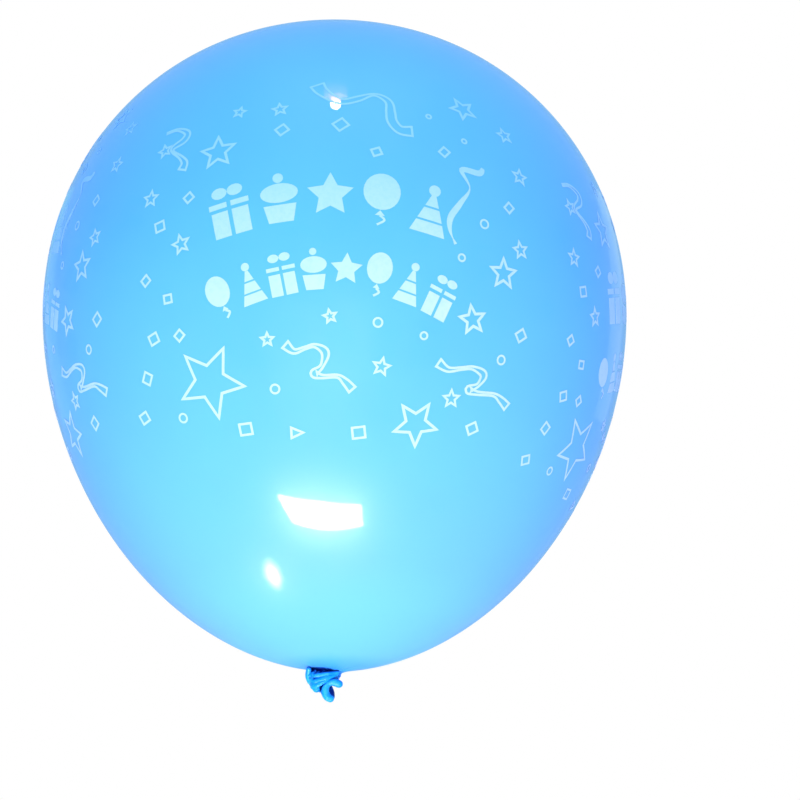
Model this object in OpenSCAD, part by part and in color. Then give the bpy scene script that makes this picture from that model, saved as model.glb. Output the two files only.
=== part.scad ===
// Light-up latex party balloon, blown up and tied.
// Origin: on the axis, in the middle of the tied neck, where a ribbon goes round. +Z points up to the crown.
// The film's outline is two quarter superellipses that meet at the widest ring.

/* [Film] */
// Widest diameter of the blown-up film
body_d = 280; // [220:5:340]
// Height of the crown above the widest ring
crown_rise = 142; // [110:1:180]
// Depth of the lower part below the widest ring
base_drop = 171; // [120:1:220]
// Fullness of the crown's curve, 2 is an ellipse
crown_fullness = 2.06; // [1.8:0.02:2.4]
// Fullness of the lower curve, under 2 is more pointed
base_fullness = 1.9; // [1.7:0.02:2.2]
// Modelled wall, much thicker than real film
film_t = 0.4; // [0.3:0.05:1]

/* [Neck and knot] */
// Diameter of the gathered neck at the tie
neck_d = 7; // [5:0.5:10]
// Height of the gap between body and knot, where a ribbon goes
neck_h = 3; // [2:0.5:6]
// Width of the knot
knot_w = 17; // [14:0.5:22]
// Height of the knot
knot_h = 7; // [6:0.5:12]
// How far the knot bulges to one side of the neck
knot_x = -4.5; // [-5:0.5:0]
// Diameter of the free end below the knot
tail_d = 6.5; // [5:0.5:8]
// Length of the free end that shows below the knot
tail_len = 2; // [1:0.5:6]
// Diameter of the rolled bead round the mouth
bead_d = 4.8; // [3:0.2:6]
// Radius that the curled bead follows
bead_r = 3.4; // [3:0.1:5]

/* [Lamp] */
// Outside diameter of the housing
lamp_d = 11.6; // [11:0.1:14]
// Housing wall
lamp_wall = 1; // [0.8:0.1:1]
// Distance from the crown down to the tip of the bulb
lamp_depth = 39; // [36:0.5:45]
// Diameter of the stem that the film is clamped to
stem_d = 5; // [4:0.5:6]
// Diameter of the head on top of the stem
head_d = 8.4; // [7:0.2:10]
// Thickness of the head
head_t = 0.9; // [0.6:0.1:1.5]
// Section diameter of the rubber clamp ring
ring_cord_d = 1.2; // [1:0.1:2]

/* [Button cells] */
// Diameter of one cell
cell_d = 7.9; // [7.9]
// Thickness of one cell
cell_t = 3.6; // [3.6]
// Wall of the shrink sleeve round the cells
sleeve_t = 0.2; // [0.15:0.05:0.3]

/* [Hidden] */
$fn = 96;

// Film
latex = [0.25, 0.66, 1];
arc_steps = 30;
pole_gap = 0.2;
body_r = body_d / 2;
base_z = neck_h / 2;
ring_z = base_z + base_drop;
crown_z = ring_z + crown_rise;
collar_h = ring_cord_d;
collar_r = stem_d / 2 + film_t;

// Knot, free end and bead
knot_top_z = -neck_h / 2;
knot_base_z = knot_top_z - knot_h;
knot_edge = 3;
knot_taper = 2;
tail_x = -2.4;
tail_end_z = knot_base_z - tail_len;
bead_x = tail_x + bead_r;
bead_sweep = 200;

// Lamp, from the crown downwards
head_gap = 0.2;
head_z = crown_z + collar_h + head_gap;
shoulder_gap = 0.6;
cap_shoulder_z = crown_z - film_t - shoulder_gap;
cap_shoulder_t = 3;
edge_round = 0.4;
spigot_len = 6;
housing_top_z = cap_shoulder_z - cap_shoulder_t;
spigot_z = housing_top_z - spigot_len;
housing_ri = lamp_d / 2 - lamp_wall;
spigot_gap = 0.05;
strip_slot_w = 3;
strip_slot_t = 0.5;

led_d = 5;
led_flange_d = 5.8;
led_flange_t = 1;
led_len = 8.6;
led_tip_z = crown_z - lamp_depth;
led_flange_z = led_tip_z + led_len - led_flange_t;
led_top_z = led_flange_z + led_flange_t;
housing_floor_t = 1;
housing_base_z = led_flange_z - housing_floor_t;

lead_t = 0.5;
lead_pitch = 2.54;
lead_drop = 1.8;
short_lead_reach = 0.6;
stack_z = led_top_z + lead_drop + lead_t;
stack_top_z = stack_z + 3 * cell_t;
cell_can_r = cell_d / 2;
cell_lid_d = 6.2;
cell_lid_t = 0.5;
lead_gap = 0.05;
long_lead_x = cell_can_r + sleeve_t + lead_gap;

contact_t = 0.3;
contact_d = 6.6;
contact_z = stack_top_z + lead_t;
spring_z = contact_z + contact_t;
spring_wire_d = 0.5;
spring_d = 5.4;
spring_turns = 4;
spring_step = 24;
spring_sides = 6;

// Radius and height of the outline t degrees along a quarter superellipse, from its pole to the widest ring
function arc_r(t, r, fullness) = r * pow(sin(t), 2 / fullness);
function arc_z(t, rise, fullness) = rise * pow(cos(t), 2 / fullness);

// Angles crowd towards the pole, where the outline turns fastest
function arc_t(i) = 90 * pow(i / arc_steps, 1.15);

// The outline from the neck up to the crown, shrunk inwards by inset and open to neck_r and top_r at its poles
function outline(inset, neck_r, top_r) = concat(
    [for (i = [1 : arc_steps])
        let (t = arc_t(i), r = arc_r(t, body_r - inset, base_fullness))
        if (r > neck_r + pole_gap)
            [r, ring_z - arc_z(t, base_drop - inset, base_fullness)]],
    [for (i = [arc_steps - 1 : -1 : 1])
        let (t = arc_t(i), r = arc_r(t, body_r - inset, crown_fullness))
        if (r > top_r + pole_gap)
            [r, ring_z + arc_z(t, crown_rise - inset, crown_fullness)]]
);

function reverse_list(points) = [for (i = [len(points) - 1 : -1 : 0]) points[i]];

// A bar of square section from a to b, along one axis
module lead_bar(a, b) {
    half = lead_t / 2;
    low = [min(a.x, b.x) - half, -half, min(a.z, b.z) - half];
    size = [abs(b.x - a.x) + lead_t, lead_t, abs(b.z - a.z) + lead_t];
    translate(low) cube(size);
}

module button_cell(index) {
    z = stack_z + index * cell_t;
    color("silver") {
        translate([0, 0, z + cell_lid_t]) cylinder(d = cell_d, h = cell_t - cell_lid_t);
        translate([0, 0, z]) cylinder(d = cell_lid_d, h = cell_lid_t);
    }
}

module balloon_skin() {
    neck_r = neck_d / 2;
    color(latex) rotate_extrude() polygon(concat(
        [[0, -base_z], [neck_r, -base_z], [neck_r, base_z]],
        outline(0, neck_r, collar_r),
        [[collar_r, crown_z], [collar_r, crown_z + collar_h]],
        [[stem_d / 2, crown_z + collar_h], [stem_d / 2, crown_z - film_t]],
        reverse_list(outline(film_t, neck_r, collar_r)),
        [[neck_r, base_z + film_t], [0, base_z + film_t]]
    ));
}

// A rounded drum: the wrapped neck, wider at the top than at the bottom
module knot() {
    r = knot_w / 2;
    low_r = r - knot_taper;
    color(latex) translate([knot_x, 0, 0]) rotate_extrude() polygon(concat(
        [[0, knot_base_z]],
        [for (a = [-90 : 15 : 0])
            [low_r - knot_edge + knot_edge * cos(a), knot_base_z + knot_edge + knot_edge * sin(a)]],
        [for (a = [0 : 15 : 90])
            [r - knot_edge + knot_edge * cos(a), knot_top_z - knot_edge + knot_edge * sin(a)]],
        [[0, knot_top_z]]
    ));
}

// The free end leaves the knot's underside and reaches down to the bead
module neck_tail() {
    color(latex) translate([tail_x, 0, tail_end_z]) cylinder(d = tail_d, h = tail_len);
}

// The rolled bead, curled into a hook that starts at the free end's foot and turns up on the other side
module mouth_bead() {
    color(latex) translate([bead_x, 0, tail_end_z]) rotate([90, 0, 0])
        rotate([0, 0, 180]) rotate_extrude(angle = bead_sweep)
            translate([bead_r, 0]) circle(d = bead_d, $fn = 48);
}

module clamp_ring() {
    ring_r = collar_r + ring_cord_d / 2;
    color("white") translate([0, 0, crown_z + ring_cord_d / 2])
        rotate_extrude() translate([ring_r, 0]) circle(d = ring_cord_d, $fn = 32);
}

// Head, stem, shoulder and spigot in one moulding, with the slot that the insulating strip was pulled through
module lamp_cap() {
    spigot_r = housing_ri - spigot_gap;
    color("whitesmoke") difference() {
        rotate_extrude() polygon([
            [0, spigot_z],
            [spigot_r, spigot_z],
            [spigot_r, housing_top_z],
            [lamp_d / 2, housing_top_z],
            [lamp_d / 2, cap_shoulder_z - edge_round],
            [lamp_d / 2 - edge_round, cap_shoulder_z],
            [stem_d / 2, cap_shoulder_z],
            [stem_d / 2, head_z],
            [head_d / 2, head_z],
            [head_d / 2, head_z + head_t - edge_round],
            [head_d / 2 - edge_round, head_z + head_t],
            [0, head_z + head_t]
        ]);
        translate([-strip_slot_w / 2, -strip_slot_t / 2, spigot_z - 1])
            cube([strip_slot_w, strip_slot_t, head_z + head_t - spigot_z + 2]);
    }
}

module lamp_housing() {
    color("whitesmoke") difference() {
        translate([0, 0, housing_base_z]) cylinder(d = lamp_d, h = housing_top_z - housing_base_z);
        translate([0, 0, led_flange_z]) cylinder(r = housing_ri, h = housing_top_z);
        translate([0, 0, housing_base_z - 1]) cylinder(d = led_d + 2 * spigot_gap, h = housing_floor_t + 2);
    }
}

module upper_cell() {
    button_cell(2);
}

module middle_cell() {
    button_cell(1);
}

module lower_cell() {
    button_cell(0);
}

module cell_sleeve() {
    color("seagreen") translate([0, 0, stack_z + cell_lid_t]) difference() {
        cylinder(r = cell_can_r + sleeve_t, h = 3 * cell_t - cell_lid_t);
        translate([0, 0, -1]) cylinder(r = cell_can_r, h = 3 * cell_t + 2);
    }
}

module top_contact() {
    color("gold") translate([0, 0, contact_z]) cylinder(d = contact_d, h = contact_t);
}

// Spring wire: rings of points along a helix, closed at both ends
module contact_spring() {
    wire_r = spring_wire_d / 2;
    rise = spigot_z - spring_z - spring_wire_d;
    count = spring_turns * spring_step;
    coil_r = (spring_d - spring_wire_d) / 2;
    points = [
        for (i = [0 : count])
            for (s = [0 : spring_sides - 1])
                let (a = 360 * i / spring_step, b = 360 * s / spring_sides, r = coil_r + wire_r * cos(b))
                    [r * cos(a), r * sin(a), spring_z + wire_r + rise * i / count + wire_r * sin(b)]
    ];
    sides = [
        for (i = [0 : count - 1])
            for (s = [0 : spring_sides - 1])
                let (a = i * spring_sides, n = (s + 1) % spring_sides)
                    [a + s, a + n, a + spring_sides + n, a + spring_sides + s]
    ];
    first_end = [for (s = [spring_sides - 1 : -1 : 0]) s];
    last_end = [for (s = [0 : spring_sides - 1]) count * spring_sides + s];
    color("goldenrod") polyhedron(points, concat(sides, [first_end, last_end]), convexity = 6);
}

// Round bulb: a flange, a barrel and a domed tip that points down
module led_bulb() {
    r = led_d / 2;
    color("white") rotate_extrude() polygon(concat(
        [[0, led_top_z], [0, led_tip_z]],
        [for (a = [-75 : 15 : 0]) [r * cos(a), led_tip_z + r + r * sin(a)]],
        [[r, led_flange_z], [led_flange_d / 2, led_flange_z], [led_flange_d / 2, led_top_z]]
    ));
}

// The long lead rises from the bulb, runs up beside the cells and bends over the top one
module long_lead() {
    start = [lead_pitch / 2, 0, led_top_z + lead_t / 2];
    bend_z = led_top_z + lead_drop / 2;
    over_z = stack_top_z + lead_t / 2;
    side_x = long_lead_x + lead_t / 2;
    color("silver") union() {
        lead_bar(start, [start.x, 0, bend_z]);
        lead_bar([start.x, 0, bend_z], [side_x, 0, bend_z]);
        lead_bar([side_x, 0, bend_z], [side_x, 0, over_z]);
        lead_bar([0, 0, over_z], [side_x, 0, over_z]);
    }
}

// The short lead rises from the bulb and bends flat under the lowest cell
module short_lead() {
    start = [-lead_pitch / 2, 0, led_top_z + lead_t / 2];
    flat_z = stack_z - lead_t / 2;
    color("silver") union() {
        lead_bar(start, [start.x, 0, flat_z]);
        lead_bar([start.x, 0, flat_z], [short_lead_reach, 0, flat_z]);
    }
}

balloon_skin();
knot();
neck_tail();
mouth_bead();
clamp_ring();
lamp_cap();
lamp_housing();
upper_cell();
middle_cell();
lower_cell();
cell_sleeve();
top_contact();
contact_spring();
led_bulb();
long_lead();
short_lead();
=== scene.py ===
"""A light-up latex party balloon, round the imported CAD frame: film, print, knot, rolled lip and lamp.

Everything is in metres, in the frame's own axes: +Z from the tied neck up to the crown, the printed front
towards -Y. Directions on the film are given from the middle of its widest ring, as degrees round from the
front (positive to the right) and degrees above the ring.
"""

import math
import random

import bpy
from mathutils import Matrix, Vector


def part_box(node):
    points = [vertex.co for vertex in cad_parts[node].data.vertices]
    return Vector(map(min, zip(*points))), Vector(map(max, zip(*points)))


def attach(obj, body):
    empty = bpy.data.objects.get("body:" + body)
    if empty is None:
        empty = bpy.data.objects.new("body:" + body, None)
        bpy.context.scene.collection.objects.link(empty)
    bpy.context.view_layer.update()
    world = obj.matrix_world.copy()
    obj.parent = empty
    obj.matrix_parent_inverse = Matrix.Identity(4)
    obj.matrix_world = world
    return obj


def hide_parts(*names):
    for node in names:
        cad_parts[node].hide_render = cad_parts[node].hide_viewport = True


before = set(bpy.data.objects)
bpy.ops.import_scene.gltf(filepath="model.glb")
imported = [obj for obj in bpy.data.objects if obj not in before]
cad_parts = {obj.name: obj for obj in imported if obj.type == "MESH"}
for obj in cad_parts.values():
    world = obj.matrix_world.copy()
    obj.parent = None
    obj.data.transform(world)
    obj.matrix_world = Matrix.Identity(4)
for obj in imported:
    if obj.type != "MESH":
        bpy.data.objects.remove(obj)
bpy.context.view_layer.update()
MM = 0.001

# ---- The film's outline, as the CAD has it ---------------------------------------------------------------

SKIN_LOW, SKIN_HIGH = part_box("balloon_skin")
BODY_R = (SKIN_HIGH.x - SKIN_LOW.x) / 2
NECK_HALF = -SKIN_LOW.z
BASE_Z = NECK_HALF
CROWN_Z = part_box("clamp_ring")[0].z
COLLAR_TOP_Z = SKIN_HIGH.z
# How far up the outline its widest ring lies
RING_SHARE = 171 / 313
RING_Z = BASE_Z + (CROWN_Z - BASE_Z) * RING_SHARE
CENTRE = Vector((0, 0, RING_Z))
CROWN_RISE = CROWN_Z - RING_Z
BASE_DROP = RING_Z - BASE_Z
CROWN_FULLNESS = 2.06
BASE_FULLNESS = 1.9
NECK_R = 3.2 * MM
STEM_R = 2.5 * MM
LED_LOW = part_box("led_bulb")[0]
LED_CENTRE = Vector((0, 0, LED_LOW.z + 2.5 * MM))
# The middle of the painted shade that the knot casts on the film above it
KNOT_TOP = Vector((-4.6 * MM, 0, 0))


def half_of(height):
    """Rise and fullness of the half of the film that holds this height above the ring."""
    return (CROWN_RISE, CROWN_FULLNESS) if height > 0 else (BASE_DROP, BASE_FULLNESS)


def on_film(point, lift=0.0):
    """The film's point straight out from its middle through point, raised by lift, and its outward normal."""
    q = point - CENTRE
    rise, fullness = half_of(q.z)
    round_share, up_share = math.hypot(q.x, q.y) / BODY_R, abs(q.z) / rise
    grow = (round_share**fullness + up_share**fullness) ** (-1 / fullness)
    round_share, up_share, q = round_share * grow, up_share * grow, q * grow
    flat = Vector((q.x, q.y, 0))
    flat = flat.normalized() if flat.length > 1e-9 else Vector((0, 0, 0))
    normal = flat * (round_share ** (fullness - 1) / BODY_R)
    normal.z = math.copysign(up_share ** (fullness - 1) / rise, q.z)
    normal.normalize()
    return CENTRE + q + normal * lift, normal


def towards(round_deg, up_deg):
    """A unit vector at these degrees round from the front and above the ring."""
    a, e = math.radians(round_deg), math.radians(up_deg)
    return Vector((math.sin(a) * math.cos(e), -math.cos(a) * math.cos(e), math.sin(e)))


# ---- Camera, light and floor -----------------------------------------------------------------------------

CAMERA_DISTANCE = 2.0
CAMERA_ELEVATION = -11
# The width seen at AIM, which is the middle of the picture
FRAME_WIDTH = 0.3831
AIM = Vector((0.0313, 0, 0.1318))
SENSOR_MM = 36
FLOOR_Z = -3.2
FLOOR_HALF = 60
# The room lights the balloon with a bluish light and is itself seen white
ROOM_LIGHT = (0.3, 0.57, 0.85, 1)
FLOOR_GLOW = (0.62, 0.4, 0.16, 1)
PANEL_DISTANCE = 1.2
STRIP_DISTANCE = 1.6
FILL_DISTANCE = 2.5

# Where the corners of the lights' mirror images lie on the film
SOFTBOX_SPOTS = [(-13.1, -44.0), (-3, -45.5), (7.5, -46.1), (8.6, -50.1), (-0.8, -51.1), (-9.9, -49.7)]
SMALL_WINDOW_SPOTS = [
    (-19.3, -56.8), (-17.3, -58.2), (-17, -60.4), (-18.8, -62.2), (-20.7, -62), (-22.1, -60), (-21.4, -58),
]
# The small window's layers, from its bright core out to its soft edge, as (size, radiance)
SMALL_WINDOW_LAYERS = [(0.65, 24), (0.9, 15), (1.15, 8), (1.4, 3.5)]
LAYER_GAP = 0.01
# Soft lights round the balloon: name, degrees round, degrees up, side in metres, radiance and colour
FILLS = [
    ("front_fill", -4, -20, 1.5, 7.4, (1, 1, 1)),
    ("top_fill", 10, 75, 1.8, 2.6, (0.9, 0.95, 1)),
    ("under_fill", 0, -72, 1.8, 1.7, (1, 0.75, 0.45)),
    ("back_fill", 180, 5, 1.8, 3, (1, 1, 1)),
    ("right_fill", 55, 28, 1.5, 1.8, (0.8, 0.8, 0.6)),
    ("left_fill", -60, -5, 1.5, 1.2, (0.1, 0.8, 0.8)),
]
# The places of a Mix node's colour sockets
MIX_AMOUNT, MIX_FIRST, MIX_SECOND, MIX_RESULT = 0, 6, 7, 2


def around(spots, share):
    """The spots moved towards or away from their middle."""
    x, y = (sum(spot[k] for spot in spots) / len(spots) for k in (0, 1))
    return [(x + (a - x) * share, y + (b - y) * share) for a, b in spots]


def strip_spots(side):
    """Corners of a tall strip near one edge of the film, in pairs from its top down."""
    inner, outer, top, foot, parts = 69 * side, 78 * side, 22, -24, 8
    heights = [top + (foot - top) * k / parts for k in range(parts + 1)]
    return [(across, up) for up in heights for across in (inner, outer)]


def make_camera():
    """A long lens at the photograph's angle, from a little below, with the balloon left of the middle."""
    data = bpy.data.cameras.new("camera")
    data.sensor_width = SENSOR_MM
    data.lens = SENSOR_MM * CAMERA_DISTANCE / FRAME_WIDTH
    data.clip_start, data.clip_end = 0.01, 50
    camera = bpy.data.objects.new("camera", data)
    back = towards(0, CAMERA_ELEVATION)
    camera.location = AIM + back * CAMERA_DISTANCE
    camera.rotation_euler = back.to_track_quat("Z", "Y").to_euler()
    bpy.context.scene.collection.objects.link(camera)
    bpy.context.scene.camera = camera
    return camera


def fill_light(name, round_deg, up_deg, side, radiance, color):
    """A soft square light without a mirror image. Its brightness doesn't change with its size."""
    data = bpy.data.lights.new(name, "AREA")
    data.size = side
    data.energy = radiance * math.pi * side * side
    data.color = color
    light = bpy.data.objects.new(name, data)
    out = towards(round_deg, up_deg)
    light.location = CENTRE + out * FILL_DISTANCE
    light.rotation_euler = out.to_track_quat("Z", "Y").to_euler()
    light.visible_camera = light.visible_glossy = False
    bpy.context.scene.collection.objects.link(light)


def panel_light(name, camera, spots, distance, radiance, color=(1, 1, 1), strip=False):
    """A glowing panel whose mirror image in the film has its corners at these spots."""
    corners = []
    for spot in spots:
        point, normal = on_film(CENTRE + towards(*spot))
        view = (camera.location - point).normalized()
        corners.append(point + (normal * (2 * normal.dot(view)) - view) * distance)
    mesh = bpy.data.meshes.new(name)
    faces = [range(len(corners))]
    if strip:
        faces = [(k, k + 1, k + 3, k + 2) for k in range(0, len(corners) - 2, 2)]
    mesh.from_pydata([tuple(c) for c in corners], [], faces)
    panel = bpy.data.objects.new(name, mesh)
    bpy.context.scene.collection.objects.link(panel)
    panel.visible_camera = False
    node = Nodes(name + "_light")
    node.tree.links.new(
        node.add("Emission", {"Color": (*color, 1), "Strength": radiance}).outputs[0],
        node.output.inputs["Surface"],
    )
    mesh.materials.append(node.material)


def make_world():
    """A background that is seen white and lights the balloon like a bluish room."""
    world = bpy.data.worlds.new("studio")
    world.use_nodes = True
    tree = world.node_tree
    background = tree.nodes["Background"]
    seen = tree.nodes.new("ShaderNodeLightPath").outputs["Is Camera Ray"]
    shade = tree.nodes.new("ShaderNodeMix")
    shade.data_type = "RGBA"
    shade.inputs[MIX_FIRST].default_value = ROOM_LIGHT
    shade.inputs[MIX_SECOND].default_value = (1, 1, 1, 1)
    tree.links.new(seen, shade.inputs[MIX_AMOUNT])
    tree.links.new(shade.outputs[MIX_RESULT], background.inputs["Color"])
    bpy.context.scene.world = world
    bpy.context.scene.view_settings.view_transform = "Standard"


def make_floor():
    """A pale floor far below, which neither lights the balloon nor is mirrored in it."""
    mesh = bpy.data.meshes.new("floor")
    corners = [(-1, -1), (1, -1), (1, 1), (-1, 1)]
    mesh.from_pydata([(x * FLOOR_HALF, y * FLOOR_HALF, FLOOR_Z) for x, y in corners], [], [range(4)])
    floor = bpy.data.objects.new("floor", mesh)
    bpy.context.scene.collection.objects.link(floor)
    node = Nodes("floor_paint")
    shader = node.principled(base=(0.9, 0.9, 0.9), roughness=0.7)
    node.put(shader, "Emission Color", FLOOR_GLOW)
    node.put(shader, "Emission Strength", 1.0)
    mesh.materials.append(node.material)
    floor.visible_diffuse = floor.visible_glossy = floor.visible_transmission = False


# ---- Materials -------------------------------------------------------------------------------------------


class Nodes:
    """A procedural material in the making, whose nodes read the object's own coordinates."""

    def __init__(self, name):
        self.material = bpy.data.materials.new(name)
        self.material.use_nodes = True
        self.tree = self.material.node_tree
        self.tree.nodes.clear()
        self.output = self.tree.nodes.new("ShaderNodeOutputMaterial")
        self.coords = None

    def add(self, kind, inputs=None, **settings):
        made = self.tree.nodes.new("ShaderNode" + kind)
        for key, value in settings.items():
            setattr(made, key, value)
        for key, value in (inputs or {}).items():
            self.put(made, key, value)
        return made

    def put(self, made, key, value):
        if isinstance(value, bpy.types.NodeSocket):
            self.tree.links.new(value, made.inputs[key])
        else:
            made.inputs[key].default_value = value

    def place(self):
        if self.coords is None:
            self.coords = self.add("TexCoord").outputs["Object"]
        return self.coords

    def height(self):
        return self.add("SeparateXYZ", {"Vector": self.place()}).outputs["Z"]

    def distance(self, point):
        made = self.add("VectorMath", {0: self.place(), 1: point}, operation="DISTANCE")
        return made.outputs["Value"]

    def noise(self, scale, detail=4, roughness=0.55):
        made = self.add(
            "TexNoise",
            {"Vector": self.place(), "Scale": scale, "Detail": detail, "Roughness": roughness},
        )
        return made.outputs["Fac"]

    def between(self, value, low, high, start=0.0, end=1.0, smooth=True):
        """Start at low, end at high, and a run from one to the other between them."""
        made = self.add(
            "MapRange",
            {"Value": value, "From Min": low, "From Max": high, "To Min": start, "To Max": end},
            interpolation_type="SMOOTHSTEP" if smooth else "LINEAR",
        )
        return made.outputs["Result"]

    def mix(self, amount, first, second):
        made = self.add("Mix", data_type="RGBA")
        for key, value in ((MIX_AMOUNT, amount), (MIX_FIRST, first), (MIX_SECOND, second)):
            if isinstance(value, bpy.types.NodeSocket):
                self.tree.links.new(value, made.inputs[key])
            else:
                made.inputs[key].default_value = (*value, 1) if isinstance(value, tuple) else value
        return made.outputs[MIX_RESULT]

    def maths(self, operation, first, second):
        made = self.add("Math", operation=operation)
        self.put(made, 0, first)
        self.put(made, 1, second)
        return made.outputs[0]

    def bump(self, value, distance, strength=1.0, after=None):
        inputs = {"Height": value, "Distance": distance, "Strength": strength}
        if after is not None:
            inputs["Normal"] = after
        return self.add("Bump", inputs).outputs["Normal"]

    def principled(self, base, roughness=0.5, normal=None, **sockets):
        shader = self.add("BsdfPrincipled")
        self.put(shader, "Base Color", (*base, 1) if isinstance(base, tuple) else base)
        self.put(shader, "Roughness", roughness)
        if normal is not None:
            self.put(shader, "Normal", normal)
        for key, value in sockets.items():
            self.put(shader, key.replace("_", " ").title().replace("Ior", "IOR"), value)
        self.tree.links.new(shader.outputs[0], self.output.inputs["Surface"])
        return shader


WHITE_PLASTIC = ((0.82, 0.82, 0.8), (0.74, 0.75, 0.76))
FILM_BLUE = (0.085, 0.4, 0.96)
# Painted light: the film's blue made paler low down, where light from below and in front falls on it
FILM_PAINTED_LIGHT_BELOW = (0.13, 0.4, 0.96)
# Painted light: the film's blue made brighter near the top, where light from above falls
FILM_PAINTED_LIGHT_TOP = (0.088, 0.45, 1.0)
THICK_BLUE = (0.004, 0.16, 0.8)
# Painted shade: the near-black blue of the latex's shaded creases and hollow
CREASE_SHADE_BLUE = (0.0, 0.004, 0.14)


def film_material():
    """Stretched latex: pale where it is thin, deeper where it thickens at the neck and round the lamp, with
    painted light that makes it paler low down and brighter near the top, and painted shade on the film just
    above the knot.
    """
    node = Nodes("blue_latex_film")
    height = node.height()
    # Painted light: paler towards the bottom, where light from below falls
    low = node.between(height, 190 * MM, 40 * MM, smooth=False)
    color = node.mix(low, FILM_BLUE, FILM_PAINTED_LIGHT_BELOW)
    # Painted light: brighter towards the top, where light from above falls
    high = node.between(height, 200 * MM, 300 * MM, smooth=False)
    color = node.mix(high, color, FILM_PAINTED_LIGHT_TOP)
    thin = node.between(node.noise(22, detail=2), 0.3, 0.7, 0.0, 0.1)
    color = node.mix(thin, color, (0.13, 0.5, 1.0))
    at_neck = node.between(height, BASE_Z + 5 * MM, BASE_Z - 0.5 * MM, 0.0, 0.7)
    color = node.mix(at_neck, color, (0.01, 0.26, 0.95))
    # Painted shade: the film just above the knot turns nearly black-navy where the knot shades it, with a
    # jagged edge
    shade_edge_wobble = node.between(node.noise(330, detail=2), 0.35, 0.65, -0.9 * MM, 0.9 * MM)
    knot_shade_reach = node.maths("ADD", node.distance(KNOT_TOP), shade_edge_wobble)
    color = node.mix(node.between(knot_shade_reach, 9 * MM, 6.8 * MM, 0.0, 0.93), color, (0.0, 0.008, 0.2))
    at_crown = node.between(height, CROWN_Z - 1.6 * MM, CROWN_Z + 0.5 * MM, 0.0, 0.7)
    color = node.mix(at_crown, color, THICK_BLUE)
    normal = node.bump(node.noise(9, detail=2), 0.6 * MM, 0.25)
    normal = node.bump(node.noise(900, detail=2), 0.01 * MM, 0.15, normal)
    cover = node.between(height, 20 * MM, 45 * MM, 1.0, 0.9)
    haze = node.between(node.noise(60, detail=2), 0.3, 0.7, 0.28, 0.32)
    gloss = node.between(height, 6 * MM, 22 * MM)
    node.principled(
        color, haze, normal, ior=1.5, alpha=cover, coat_weight=gloss, coat_roughness=0.055, coat_ior=1.5
    )
    return node.material


def thick_latex_material(hollow, hollow_r):
    """Unstretched latex: deep blue, with painted shade, nearly black, in its creases and in the mouth's
    hollow.
    """
    node = Nodes("blue_latex_thick")
    # Painted shade: near-black where the ambient occlusion finds creases between the rolls
    crease = node.add("AmbientOcclusion", {"Distance": 4 * MM}, samples=8).outputs["AO"]
    open_skin = node.between(crease, 0.35, 1.0)
    color = node.mix(open_skin, CREASE_SHADE_BLUE, (0.0, 0.23, 0.82))
    cloud = node.between(node.noise(180, detail=3), 0.35, 0.7, 0.0, 0.5)
    color = node.mix(node.maths("MULTIPLY", cloud, open_skin), color, (0.05, 0.45, 0.95))
    # Painted shade: near-black inside the mouth's hollow
    color = node.mix(node.between(node.distance(hollow), hollow_r, hollow_r * 0.6), color, CREASE_SHADE_BLUE)
    lines = node.add(
        "TexWave",
        {"Vector": node.place(), "Scale": 240, "Distortion": 6, "Detail": 3, "Detail Scale": 1.5},
    ).outputs["Fac"]
    normal = node.bump(lines, 0.05 * MM, 0.35)
    normal = node.bump(node.noise(700, detail=4), 0.05 * MM, 0.3, normal)
    node.principled(color, node.between(node.noise(300), 0.3, 0.7, 0.3, 0.42), normal, ior=1.4)
    return node.material


def ink_material():
    """Screen-printed white ink, stretched thin: the blue shows through it in fine pores and near the top."""
    node = Nodes("white_ink")
    height = node.height()
    pores = node.between(node.noise(420, detail=6, roughness=0.7), 0.42, 0.62, 0.0, 0.35)
    patches = node.between(node.noise(30, detail=3), 0.35, 0.7, 0.0, 0.25)
    color = node.mix(pores, (0.46, 0.57, 0.88), (0.34, 0.5, 0.88))
    color = node.mix(patches, color, (0.36, 0.52, 0.88))
    color = node.mix(node.between(height, 120 * MM, 300 * MM, 0.0, 0.8), color, (0.12, 0.47, 0.95))
    node.principled(color, 0.35, node.bump(node.noise(900), 0.02 * MM, 0.4), ior=1.4)
    return node.material


def plastic_shader(node, base, other, roughness):
    cloud = node.between(node.noise(150, detail=5), 0.35, 0.7)
    normal = node.bump(node.noise(1600, detail=3), 0.02 * MM, 0.4)
    return node.principled(node.mix(cloud, base, other), roughness, normal)


def plastic_material(name, base, other, roughness=0.35):
    node = Nodes(name)
    plastic_shader(node, base, other, roughness)
    return node.material


def metal_material(name, base, dull, roughness=0.25):
    node = Nodes(name)
    worn = node.between(node.noise(260, detail=6), 0.4, 0.7)
    normal = node.bump(node.noise(2500, roughness=0.5), 0.01 * MM, 0.5)
    rough = node.between(worn, 0.0, 1.0, roughness * 0.7, roughness * 1.6)
    node.principled(node.mix(worn, base, dull), rough, normal, metallic=1.0)
    return node.material


def bulb_material():
    """A lit bulb, white-hot at its dome, whose epoxy glows pink."""
    node = Nodes("lit_bulb")
    height = node.height()
    base = node.mix(node.noise(300), (0.95, 0.85, 1.0), (1.0, 0.92, 0.98))
    shader = node.principled(base, 0.15)
    pink = node.between(height, LED_LOW.z + 2 * MM, LED_LOW.z + 4 * MM)
    node.put(shader, "Emission Color", node.mix(pink, (1, 0.85, 1), (1, 0.4, 0.9)))
    dome = node.between(height, LED_LOW.z + 1.5 * MM, LED_LOW.z + 5.2 * MM, 22.0, 9.0)
    below_rim = node.between(height, LED_LOW.z + 6.6 * MM, LED_LOW.z + 5.2 * MM, 0.06, 1.0)
    node.put(shader, "Emission Strength", node.maths("MULTIPLY", dome, below_rim))
    return node.material


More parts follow.
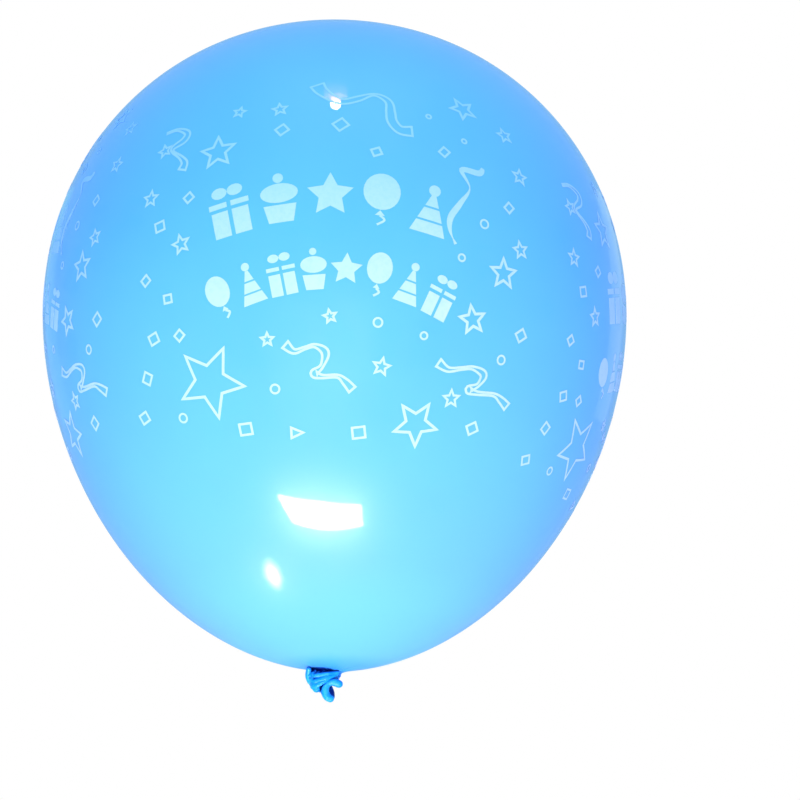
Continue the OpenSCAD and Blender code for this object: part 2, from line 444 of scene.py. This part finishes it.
def glow_painted_plastic_material(name, base, other, roughness=0.35):
    """White plastic with a painted pink glow near the bulb below it, standing in for the bulb's light on it.
    """
    node = Nodes(name)
    shader = plastic_shader(node, base, other, roughness)
    # Painted light: the housing glows pink near the bulb, as if lit by it
    near = node.between(node.distance(LED_CENTRE), 13 * MM, 5 * MM, 0.0, 1.3)
    node.put(shader, "Emission Color", (1.0, 0.5, 0.9, 1))
    node.put(shader, "Emission Strength", near)
    return node.material


# ---- Mesh helpers ----------------------------------------------------------------------------------------


def finish_piece(name, mesh, material, replaced=(), smooth=True):
    """Makes a shown piece of this mesh, riding on the balloon."""
    for face in mesh.polygons:
        face.use_smooth = smooth
    mesh.materials.append(material)
    piece = bpy.data.objects.new(name, mesh)
    bpy.context.scene.collection.objects.link(piece)
    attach(piece, "root")
    if replaced:
        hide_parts(*replaced)
    return piece


def mesh_of(name, points, faces):
    mesh = bpy.data.meshes.new(name)
    mesh.from_pydata([tuple(p) for p in points], [], faces)
    mesh.validate()
    return mesh


# ---- The film --------------------------------------------------------------------------------------------

ROUND_STEPS = 288
PROFILE_STEPS = 90
NECK_PLEATS, NECK_SEED = 15, 1.3
CROWN_PLEATS, CROWN_SEED = 16, 0.4


def quarter(rise, fullness, steps):
    """Radius and rise along a quarter of the outline, from its pole to the ring, closest at the pole."""
    for i in range(1, steps + 1):
        t = math.radians(90) * (i / steps) ** 1.3
        yield BODY_R * math.sin(t) ** (2 / fullness), rise * math.cos(t) ** (2 / fullness)


def film_profile():
    """(radius, height) from the plug in the neck up to the collar round the lamp's stem."""
    neck = [(NECK_R * 0.5, -NECK_HALF), (NECK_R * 0.95, -NECK_HALF)]
    flare_r, flare_steps = 15 * MM, 22
    rows = neck
    for i in range(flare_steps + 1):
        share = i / flare_steps
        r = NECK_R + (flare_r - NECK_R) * share**1.6
        drop = BASE_DROP * (1 - (1 - (r / BODY_R) ** BASE_FULLNESS) ** (1 / BASE_FULLNESS))
        rows.append((r, BASE_Z + drop - (1 - share) ** 2.2 * NECK_HALF * 1.2))
    for r, depth in quarter(BASE_DROP, BASE_FULLNESS, PROFILE_STEPS):
        if r > flare_r * 1.05:
            rows.append((r, RING_Z - depth))
    collar_r = STEM_R + 0.4 * MM
    top = [(r, RING_Z + rise) for r, rise in quarter(CROWN_RISE, CROWN_FULLNESS, PROFILE_STEPS)]
    for r, z in reversed(top[:-1]):
        if r > collar_r + 1.2 * MM:
            rows.append((r, z))
    fillet_steps = 5
    for i in range(fillet_steps + 1):
        a = math.radians(90) * i / fillet_steps
        rows.append((collar_r + (1 - math.sin(a)) * MM, CROWN_Z + (1 - math.cos(a)) * 0.9 * MM))
    rows.append((collar_r, COLLAR_TOP_Z - 0.05 * MM))
    rows.append((STEM_R - 0.1 * MM, COLLAR_TOP_Z))
    return rows


def pleats(angle, count, seed):
    """A wavy value between -1 and 1 round the axis, with pleats of uneven width."""
    bend = 0.35 * math.sin(2 * angle + seed) + 0.2 * math.sin(3 * angle + 2 * seed)
    return 0.7 * math.cos(count * (angle + bend * 0.3)) + 0.3 * math.cos((2 * count + 3) * angle + seed)


def make_film(material):
    """The film from the plug in its neck to its collar, as one closed surface with fine pleats at both."""
    rows = film_profile()
    points, faces = [], []
    for r, z in rows:
        from_neck = max(0.0, r - NECK_R)
        neck_wave = 0.35 * MM * math.exp(-from_neck / (4 * MM)) if z < RING_Z else 0.0
        near_top = 0.22 * MM * math.exp(-max(0.0, r - 4 * MM) / (7 * MM)) if z > RING_Z else 0.0
        near_top *= min(1.0, max(0.0, (r - 3.1 * MM) / (1.5 * MM)))
        for i in range(ROUND_STEPS):
            a = 2 * math.pi * i / ROUND_STEPS
            out = r + neck_wave * pleats(a, NECK_PLEATS, NECK_SEED)
            up = z + neck_wave * 0.8 * pleats(a + 0.1, NECK_PLEATS, NECK_SEED)
            up += near_top * pleats(a, CROWN_PLEATS, CROWN_SEED)
            points.append((out * math.sin(a), -out * math.cos(a), up))
    for j in range(len(rows) - 1):
        for i in range(ROUND_STEPS):
            n = (i + 1) % ROUND_STEPS
            a, b = j * ROUND_STEPS, (j + 1) * ROUND_STEPS
            faces.append((a + i, a + n, b + n, b + i))
    low, high = len(points), len(points) + 1
    points += [(0, 0, rows[0][1]), (0, 0, rows[-1][1])]
    last = (len(rows) - 1) * ROUND_STEPS
    for i in range(ROUND_STEPS):
        n = (i + 1) % ROUND_STEPS
        faces.append((n, i, low))
        faces.append((last + i, last + n, high))
    mesh = mesh_of("balloon_film", points, faces)
    finish_piece("balloon_film", mesh, material, ("balloon_skin",))


# ---- The print -------------------------------------------------------------------------------------------

INK_LIFT = 0.06 * MM
INK_DEPTH = 0.05 * MM
LINE = 1.3 * MM
MITRE_LIMIT = 2.2
FILL_RINGS = 3


class Print:
    """White ink: strokes and filled shapes, drawn flat on a tangent plane and laid on the film."""

    def __init__(self, turn, shift):
        self.turn, self.shift = turn, shift
        self.points, self.faces = [], []

    def lay(self, spot, flat, tilt=0.0):
        """The film's points under flat points (right, up) in metres, round a spot given in degrees."""
        round_deg, up_deg = spot
        centre, normal = on_film(CENTRE + towards(round_deg, up_deg))
        right = Vector((-normal.y, normal.x, 0)).normalized()
        up = normal.cross(right)
        c, s = math.cos(math.radians(tilt)), math.sin(math.radians(tilt))
        turned = Matrix.Rotation(math.radians(self.turn), 3, "Z")
        laid = []
        for u, v in flat:
            q = centre + right * (u * c - v * s) + up * (u * s + v * c)
            q.z += self.shift
            laid.append(turned @ on_film(q, INK_LIFT)[0])
        return laid

    def grid(self, rows, closed=False):
        """Faces between rows of points of equal length."""
        start, wide = len(self.points), len(rows[0])
        for row in rows:
            self.points += row
        count = len(rows)
        for j in range(count if closed else count - 1):
            a, b = start + j * wide, start + (j + 1) % count * wide
            for i in range(wide - 1):
                self.faces.append((a + i, b + i, b + i + 1, a + i + 1))

    def stroke(self, spot, path, tilt=0.0, closed=False, width=LINE):
        """A line of even width, or of width(share) along it, with mitred corners."""
        path = [Vector(p) for p in path]
        count, left_side, right_side = len(path), [], []
        for i, p in enumerate(path):
            before = path[i - 1] if i or closed else p
            after = path[(i + 1) % count] if i < count - 1 or closed else p
            a = (p - before).normalized() if before != p else (after - p).normalized()
            b = (after - p).normalized() if after != p else a
            along = (a + b).normalized()
            side = Vector((-along.y, along.x))
            reach = min(MITRE_LIMIT, 1 / max(0.2, side.dot(Vector((-a.y, a.x)))))
            w = width(i / (count - 1)) if callable(width) else width
            left_side.append(p + side * reach * w / 2)
            right_side.append(p - side * reach * w / 2)
        left, right = self.lay(spot, left_side, tilt), self.lay(spot, right_side, tilt)
        self.grid([[x, y] for x, y in zip(left, right, strict=True)], closed)

    def fill(self, spot, outline, tilt, at):
        """A filled shape round at, whose whole outline can be seen from there."""
        rows = []
        for k in range(1, FILL_RINGS + 1):
            share = k / FILL_RINGS
            ring = [(at[0] + x * share, at[1] + y * share) for x, y in outline]
            rows.append(self.lay(spot, ring, tilt))
        middle = self.lay(spot, [at], tilt)[0]
        start = len(self.points)
        self.points.append(middle)
        for row in rows:
            self.points += row
        n = len(outline)
        for i in range(n):
            self.faces.append((start, start + 1 + i, start + 1 + (i + 1) % n))
            for k in range(FILL_RINGS - 1):
                a, b = start + 1 + k * n, start + 1 + (k + 1) * n
                self.faces.append((a + i, b + i, b + (i + 1) % n, a + (i + 1) % n))

    def finish(self, name, material):
        """Makes a piece of all that was drawn, as thick as the ink is."""
        mesh = mesh_of(name, self.points, self.faces)
        piece = finish_piece(name, mesh, material, smooth=False)
        thick = piece.modifiers.new("ink_depth", "SOLIDIFY")
        thick.thickness, thick.offset = INK_DEPTH, -1


def dense(outline, step=3 * MM):
    """The closed outline with points added so that none of its sides is longer than step."""
    made = []
    for (x0, y0), (x1, y1) in zip(outline, outline[1:] + outline[:1], strict=True):
        parts = max(1, math.ceil(math.hypot(x1 - x0, y1 - y0) / step))
        made += [(x0 + (x1 - x0) * k / parts, y0 + (y1 - y0) * k / parts) for k in range(parts)]
    return made


def star(radius, waist=0.45):
    """Five points, the first straight up."""
    made = []
    for k in range(10):
        r = radius * (waist if k % 2 else 1)
        a = math.radians(90 + 36 * k)
        made.append((r * math.cos(a), r * math.sin(a)))
    return made


def ring_of(radius, count=20, squeeze=1.0):
    """A circle, or an oval squeeze times as tall as it is wide."""
    return [
        (radius * math.cos(2 * math.pi * k / count), squeeze * radius * math.sin(2 * math.pi * k / count))
        for k in range(count)
    ]


def box_of(size, squeeze):
    """A box as wide as size and squeeze times as tall."""
    h = size / 2
    return [(-h, -h * squeeze), (h, -h * squeeze), (h, h * squeeze), (-h, h * squeeze)]


def between_knots(p, q, r, s, t):
    """The Catmull-Rom curve from q to r at share t, with p before and s after them."""
    return 0.5 * (
        2 * q + (r - p) * t + (2 * p - 5 * q + 4 * r - s) * t * t + (3 * q - p - 3 * r + s) * t**3
    )


def smooth_path(knots, steps=8):
    """A smooth curve through the knots."""
    ends = [knots[0], *knots, knots[-1]]
    made = []
    for near in zip(ends, ends[1:], ends[2:], ends[3:], strict=False):
        for k in range(steps):
            made.append(tuple(between_knots(*axis, k / steps) for axis in zip(*near, strict=True)))
    return [*made, knots[-1]]


def ribbon(ink, spot, knots):
    """An outlined party ribbon through knots of (across, up, width) in millimetres."""
    middle = smooth_path([(x * MM, y * MM, w * MM) for x, y, w in knots])
    edges = ([], [])
    for i, (x, y, wide) in enumerate(middle):
        before, after = middle[max(0, i - 1)], middle[min(len(middle) - 1, i + 1)]
        along = Vector((after[0] - before[0], after[1] - before[1])).normalized() * wide / 2
        edges[0].append((x - along.y, y + along.x))
        edges[1].append((x + along.y, y - along.x))
    ink.stroke(spot, edges[0] + edges[1][::-1], closed=True, width=LINE * 0.85)


# Places are (degrees round, degrees up, size in mm, tilt in degrees), the ribbons' knots are in mm
SMALL_STARS = [
    (-11, 30, 7, 10), (-20, 30, 6, -8), (-36, 23, 7, 20), (-37, 13, 8, 0), (-29, 3, 9, 15), (-12, -16, 6, 0),
    (0, -12, 6, 12), (10, -21, 8, -10), (25, -26, 8, 5), (39, 27, 8, 8), (40, 18, 8, -12), (38, 3, 8, 10),
]
MIDDLE_STARS = [(-23, 21, 17, 8), (30, 32, 13, 20), (34, -2, 14, 0), (27.7, -11.3, 13, 12)]
BIG_STARS = [(-24.4, -23, 33.5, 186), (18, -31, 21, 186)]
SQUARES = [
    (2, 26, 7, 38), (-10, 25, 6, 40), (9, 20, 5, 20), (23, 21, 5, 45), (-28, 12, 5, 42), (-34, 7, 6, 15),
    (-37, -3, 5, 40), (-32, -7, 5, 5), (-36, -14, 6, 20), (-30, -14, 5, 42), (-39, -21, 6, 60),
    (-18, -32, 7, 4), (6, -33, 7, 8), (31, -31, 6, 30), (36, 11, 5, 44), (39, -13, 6, 35), (-42, -28, 6, 20),
]
CIRCLES = [
    (21, 29, 3, 0), (28, 24, 3, 0), (30, 7, 5, 0), (25, 0, 4, 0), (9, -13, 5, 0), (18, -15, 4, 0),
    (35, -18, 5, 0), (-11, -25, 5, 0), (-32, -29, 5, 0),
]
TRIANGLE_SPOT = (-7, -33)


def draw_confetti(ink):
    """The outlined stars, boxes, circles and one triangle."""
    for across, up, size, tilt in SMALL_STARS + MIDDLE_STARS + BIG_STARS:
        line = LINE if size > 10 else LINE * 0.8
        ink.stroke((across, up), dense(star(size * MM / 2)), tilt, closed=True, width=line)
    for across, up, size, tilt in SQUARES:
        ink.stroke((across, up), dense(box_of(size * MM * 0.8, 0.9)), tilt, closed=True, width=LINE * 0.8)
    for across, up, size, _ in CIRCLES:
        ink.stroke((across, up), ring_of(size * MM * 0.4), closed=True, width=LINE * 0.7)
    triangle = [(-2.6 * MM, -2.4 * MM), (2.8 * MM, 0), (-2.6 * MM, 2.4 * MM)]
    ink.stroke(TRIANGLE_SPOT, dense(triangle), closed=True, width=LINE * 0.8)


TOP_RIBBON = [
    (-18.5, 12, 6.5), (-16.8, 8, 5.6), (-12.5, 3, 4), (-7, 0, 3), (0, 2, 3), (6.5, 5, 1.2), (11, 4, 2.2),
    (14.2, 0.5, 3.2), (14.6, -5.5, 4.2), (15.2, -11, 4.5), (18.8, -15.5, 4.5), (24.5, -15.5, 5.5),
]
SIDE_RIBBON = [
    (-8, 11, 1), (-2, 11.8, 1.2), (4, 9, 2.6), (3.5, 5, 3.2), (-1.5, 1.5, 2), (-1, -1, 1), (4, -4.5, 1.6),
    (7, -8, 3), (6.5, -11.5, 4),
]
WAVY_RIBBON = [
    (-15.5, 9.5, 4), (-11.5, 6.5, 2), (-6.5, 8, 1.1), (-2, 9, 1.4), (2.5, 6, 3.2), (1, 0, 1.4),
    (-2.5, -3.4, 3.2), (1, -4.8, 1.5), (8, -4.8, 1.3), (11.5, -7.5, 2.8), (14.5, -11, 3.8),
]
WIDE_RIBBON = [(x * 1.3, y * 0.8, w) for x, y, w in WAVY_RIBBON]
RIBBONS = [
    ((5.9, 31.7), TOP_RIBBON), ((-33.3, 22.8), SIDE_RIBBON),
    ((-2, -21), WAVY_RIBBON), ((30, -23), WIDE_RIBBON),
]


def draw_ribbons(ink):
    """The outlined ribbons."""
    for spot, knots in RIBBONS:
        ribbon(ink, spot, knots)


STREAMER_SPOT = (26, 11)
STREAMER = [(12, 18.5), (9.5, 15.5), (0.5, 16), (3.5, 7), (-2, -1), (-7.5, -8.5), (-8, -15), (-5.5, -21)]


def draw_streamer(ink):
    """A filled, twisted paper streamer."""
    path = smooth_path([(x * MM, y * MM) for x, y in STREAMER])

    def width(share):
        return (0.5 + 2.6 * abs(math.sin(math.pi * (share * 2 + 0.15)))) * MM

    ink.stroke(STREAMER_SPOT, path, width=width)


def filled(ink, spot, tilt, outline, at=(0, 0)):
    ink.fill(spot, dense(outline, 2 * MM), tilt, at)


def draw_gift(ink, spot, tilt, w, h):
    """A wrapped box whose ribbon is left unprinted, with a bow."""
    for side in (-1, 1):
        filled(ink, spot, tilt, box_of(w * 0.42, h * 0.5 / (w * 0.42)), (side * w * 0.26, -h * 0.25))
        filled(ink, spot, tilt, box_of(w * 0.46, 0.3), (side * w * 0.28, h * 0.12))
        filled(ink, spot, tilt, ring_of(w * 0.2, 14, 0.75), (side * w * 0.2, h * 0.37))


def draw_balloon(ink, spot, tilt, w, h):
    """A small balloon with its tie and a curl of string."""
    filled(ink, spot, tilt, ring_of(w * 0.45, 24, h * 0.36 / (w * 0.45)), (0, h * 0.13))
    tie = [(-w * 0.12, -h * 0.05), (w * 0.12, -h * 0.05), (0, h * 0.05)]
    filled(ink, spot, tilt, tie, (0, -h * 0.29))
    tail = smooth_path([(0, -h * 0.34), (w * 0.12, -h * 0.42), (-w * 0.05, -h * 0.52)])
    ink.stroke(spot, tail, tilt, width=LINE * 0.8)


def draw_hat(ink, spot, tilt, w, h):
    """A striped cone with a ball on top."""
    tiers, gap = 3, 0.05

    def half_width(share):
        return w * 0.46 * (1 - share * 0.9)

    for k in range(tiers):
        low, high = k / tiers + gap / 2, (k + 1) / tiers - gap / 2
        middle = (low + high) / 2 * 0.8 * h - h * 0.5
        foot, top = low * 0.8 * h - h * 0.5 - middle, high * 0.8 * h - h * 0.5 - middle
        wide, narrow = half_width(low), half_width(high)
        band = [(-wide, foot), (wide, foot), (narrow, top), (-narrow, top)]
        filled(ink, spot, tilt, band, (0, middle))
    filled(ink, spot, tilt, ring_of(w * 0.15, 14), (0, h * 0.38))


def draw_cake(ink, spot, tilt, w, h):
    """A small cake in a pleated cup, with a cherry."""
    cup = [(-w * 0.3, -h * 0.17), (w * 0.3, -h * 0.17), (w * 0.4, h * 0.17), (-w * 0.4, h * 0.17)]
    filled(ink, spot, tilt, cup, (0, -h * 0.3))
    filled(ink, spot, tilt, ring_of(w * 0.46, 24, h * 0.19 / (w * 0.46)), (0, h * 0.1))
    filled(ink, spot, tilt, ring_of(w * 0.13, 14), (0, h * 0.4))


def draw_full_star(ink, spot, tilt, w, h):
    filled(ink, spot, tilt, star(min(w, h) * 0.58, 0.5))


GARLAND = (draw_gift, draw_balloon, draw_cake, draw_hat, draw_full_star)


def draw_garland(ink, middle_up, end_up, half_span, count, w, h, first):
    """An arched row of small filled party things."""
    for k in range(count):
        share = (k + 0.5) / count * 2 - 1
        spot = (half_span * share, middle_up + (end_up - middle_up) * share * share)
        tilt = math.degrees(math.atan2(2 * share * (end_up - middle_up), half_span))
        GARLAND[(first + 2 * k) % len(GARLAND)](ink, spot, tilt, w, h)


# Each copy's name, degrees round from the front, and how far up it is shifted
SIDES = [("front", 0, 0), ("right", 90, -22 * MM), ("back", 180, -8 * MM), ("left", -90, 12 * MM)]


def make_prints(material):
    """The front's print, and its copies at each quarter turn."""
    for side, turn, shift in SIDES:
        ink = Print(turn, shift)
        draw_confetti(ink)
        draw_ribbons(ink)
        draw_streamer(ink)
        draw_garland(ink, middle_up=11, end_up=7.5, half_span=24, count=5, w=19 * MM, h=25 * MM, first=0)
        draw_garland(ink, middle_up=-3.2, end_up=-9, half_span=24, count=8, w=13 * MM, h=20 * MM, first=1)
        ink.finish("print_" + side, material)


# ---- Knot, free end and rolled lip -----------------------------------------------------------------------


TUBE_SIDES = 14
CAP_TURNS = [math.radians(turn) for turn in (30, 55, 75, 87)]
KNOT_SEED = 7
KNOT_PLEATS = 17
# Where the painted shade inside the mouth's hollow is centred, and how far it reaches
MOUTH_HOLLOW = (-0.2 * MM, -2 * MM, -9.6 * MM)
MOUTH_HOLLOW_R = 2.6 * MM


def tube(body, path, radii):
    """Adds a round tube along path, with flat ends, to body, which is a list of vertices and one of faces."""
    verts, faces = body
    path = [Vector(p) for p in path]
    start, count, sides = len(verts), len(path), TUBE_SIDES
    side = None
    for i, p in enumerate(path):
        along = (path[min(count - 1, i + 1)] - path[max(0, i - 1)]).normalized()
        if side is None:
            side = along.orthogonal().normalized()
        side = (side - along * side.dot(along)).normalized()
        other = along.cross(side)
        for k in range(sides):
            a = 2 * math.pi * k / sides
            verts.append(p + (side * math.cos(a) + other * math.sin(a)) * radii[i])
    for i in range(count - 1):
        for k in range(sides):
            a, b = start + i * sides, start + (i + 1) * sides
            n = (k + 1) % sides
            faces.append((a + k, a + n, b + n, b + k))
    faces.append(tuple(start + k for k in reversed(range(sides))))
    faces.append(tuple(start + (count - 1) * sides + k for k in range(sides)))


def capsule(body, knots, radii, steps=8):
    """Adds a round-ended tube through a few knots (mm), whose radius runs smoothly between theirs."""
    path = smooth_path([tuple(c * MM for c in p) for p in knots], steps)
    widths = [r[0] * MM for r in smooth_path([(r,) for r in radii], steps)]
    for end, inwards in ((0, 1), (-1, -2)):
        tip, out = Vector(path[end]), (Vector(path[end]) - Vector(path[inwards])).normalized()
        r = widths[end]
        caps = [(tip + out * r * math.sin(a), r * math.cos(a)) for a in CAP_TURNS]
        if end == 0:
            path = [p for p, _ in reversed(caps)] + path
            widths = [w for _, w in reversed(caps)] + widths
        else:
            path = path + [p for p, _ in caps]
            widths = widths + [w for _, w in caps]
    tube(body, path, widths)


def melted(name, body, voxel, smooth):
    """One closed skin round everything in body, with its folds softened."""
    mesh = mesh_of(name, *body)
    made = bpy.data.objects.new(name, mesh)
    bpy.context.scene.collection.objects.link(made)
    remesh = made.modifiers.new("join", "REMESH")
    remesh.mode, remesh.voxel_size = "VOXEL", voxel
    soften = made.modifiers.new("soften", "SMOOTH")
    soften.factor, soften.iterations = 0.5, smooth
    graph = bpy.context.evaluated_depsgraph_get()
    final = bpy.data.meshes.new_from_object(made.evaluated_get(graph))
    bpy.data.objects.remove(made)
    final.name = name
    return final


def make_knot(material):
    """The neck wrapped round itself: rolls that run down to the left in front, and pleats behind."""
    body = ([], [])
    draw = random.Random(KNOT_SEED)
    for k in range(KNOT_PLEATS):
        a = math.radians(38 + 284 * k / (KNOT_PLEATS - 1))
        jag = 0.8 * draw.random()
        top = (-4.4 + 7.0 * math.sin(a), -5.6 * math.cos(a), 0.2 + jag)
        middle = (-5.2 + 6.0 * math.sin(a), -5.0 * math.cos(a), -2.8)
        foot = (-6.6 + 3.6 * math.sin(a), -3.2 * math.cos(a), -6.4 + 0.8 * draw.random())
        capsule(body, [top, middle, foot], [1.15, 1.3, 1.1], steps=4)
    capsule(body, [(-4.2, 0.2, -0.6), (-5.8, 0.2, -5.2)], [5.6, 3.8], steps=5)
    capsule(body, [(1.9, -5.0, 0.1), (-2.6, -6.4, -0.9), (-8.8, -5.6, -1.7)], [1.0, 1.25, 1.2])
    capsule(body, [(1.6, -4.8, -0.7), (-3.2, -6.6, -2.9), (-8.8, -5.4, -4.2)], [0.9, 1.3, 1.1])
    capsule(body, [(0.2, -4.8, -2.2), (-4.4, -6.2, -4.4), (-8.4, -4.8, -6.6)], [0.9, 1.2, 1.2])
    for k in range(5):
        share = k / 4
        x = -9.6 + 10.6 * share
        capsule(body, [(x, -5.2, -0.1 + 1.1 * draw.random()), (x - 1.4, -5.8, -1.6)], [0.8, 0.9], steps=3)
    capsule(body, [(-9.7, -4.6, 0.2), (-10.0, -4.6, -3.0), (-8.8, -4.4, -6.8)], [0.85, 0.95, 1.0])
    capsule(body, [(-11.6, -6.4, 1.6), (-12.1, -4.4, -1.6), (-11.3, -3.6, -4.4)], [1.25, 1.35, 1.2])
    capsule(body, [(-8.6, -4.0, -6.2), (-8.1, -3.8, -7.4)], [2.1, 2.1], steps=4)
    capsule(body, [(0, 0, 0.9), (-0.6, 0, -1.6)], [2.7, 3.4], steps=4)
    mesh = melted("tied_knot", body, 0.2 * MM, 2)
    finish_piece("tied_knot", mesh, material, ("knot",))


def make_free_end(material):
    """The short end of the neck that comes out from under the knot and opens into the rolled lip."""
    body = ([], [])
    capsule(body, [(-5.0, -0.8, -5.2), (-4.6, -1.2, -7.4), (-3.6, -1.6, -9.6)], [2.4, 2.3, 2.1])
    capsule(body, [(-3.2, 0.6, -5.4), (-2.4, 0.4, -8.0), (-1.6, -0.2, -10.6)], [2.2, 2.1, 1.7])
    mesh = melted("free_end", body, 0.22 * MM, 3)
    finish_piece("free_end", mesh, material, ("neck_tail",))


def make_lip(material):
    """The rolled lip, curled into a hook that is open to the right."""
    body = ([], [])
    knots = [
        (2.5, -4.6, -5.5), (0.9, -4.9, -4.9), (-1.2, -4.9, -4.6), (-3.0, -4.6, -5.6), (-3.9, -4.2, -7.4),
        (-3.9, -3.8, -9.6), (-3.0, -3.4, -11.4), (-1.6, -3.2, -12.3),
    ]
    capsule(body, knots, [1.9, 1.9, 1.85, 1.85, 1.9, 1.95, 1.95, 1.8])
    capsule(body, [(-1.8, -1.2, -7.2), (-1.5, -1.2, -9.2), (-1.2, -1.8, -11.2)], [1.5, 1.9, 1.8])
    mesh = melted("rolled_lip", body, 0.2 * MM, 2)
    finish_piece("rolled_lip", mesh, material, ("mouth_bead",))


# ---- Putting it together ---------------------------------------------------------------------------------


def paint(node_name, material):
    """Gives a CAD node its material."""
    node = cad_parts[node_name]
    node.data.materials.clear()
    node.data.materials.append(material)
    for face in node.data.polygons:
        face.use_smooth = True


def paint_lamp():
    """Gives the lamp's pieces, which are the CAD's own, their plastics and metals."""
    steel = metal_material("cell_steel", (0.72, 0.72, 0.7), (0.5, 0.5, 0.5), 0.18)
    lead = metal_material("lead_metal", (0.7, 0.7, 0.68), (0.5, 0.5, 0.48), 0.3)
    paint("lamp_cap", plastic_material("lamp_plastic", *WHITE_PLASTIC))
    paint("lamp_housing", glow_painted_plastic_material("lamp_housing_plastic", *WHITE_PLASTIC))
    for name in ("upper_cell", "middle_cell", "lower_cell"):
        paint(name, steel)
    paint("cell_sleeve", plastic_material("sleeve_plastic", (0.02, 0.22, 0.1), (0.03, 0.3, 0.15), 0.2))
    paint("top_contact", metal_material("contact_brass", (0.75, 0.52, 0.22), (0.5, 0.33, 0.14), 0.3))
    paint("contact_spring", metal_material("spring_steel", (0.7, 0.62, 0.4), (0.5, 0.45, 0.3), 0.3))
    paint("long_lead", lead)
    paint("short_lead", lead)
    paint("clamp_ring", plastic_material("clear_rubber", (0.7, 0.68, 0.6), (0.6, 0.58, 0.5), 0.45))
    paint("led_bulb", bulb_material())


def main():
    camera = make_camera()
    make_world()
    make_floor()
    panel_light("softbox", camera, SOFTBOX_SPOTS, PANEL_DISTANCE, 28)
    for layer, (share, radiance) in enumerate(SMALL_WINDOW_LAYERS):
        spots, distance = around(SMALL_WINDOW_SPOTS, share), PANEL_DISTANCE + layer * LAYER_GAP
        panel_light(f"small_window_{layer}", camera, spots, distance, radiance)
    panel_light("left_strip", camera, strip_spots(-1), STRIP_DISTANCE, 1, (0.34, 0.72, 0.95), strip=True)
    panel_light("right_strip", camera, strip_spots(1), STRIP_DISTANCE, 1, (0.5, 0.8, 1), strip=True)
    for fill in FILLS:
        fill_light(*fill)

    film = film_material()
    thick = thick_latex_material(MOUTH_HOLLOW, MOUTH_HOLLOW_R)
    ink = ink_material()
    make_film(film)
    make_prints(ink)
    make_knot(thick)
    make_free_end(thick)
    make_lip(thick)
    paint_lamp()


main()
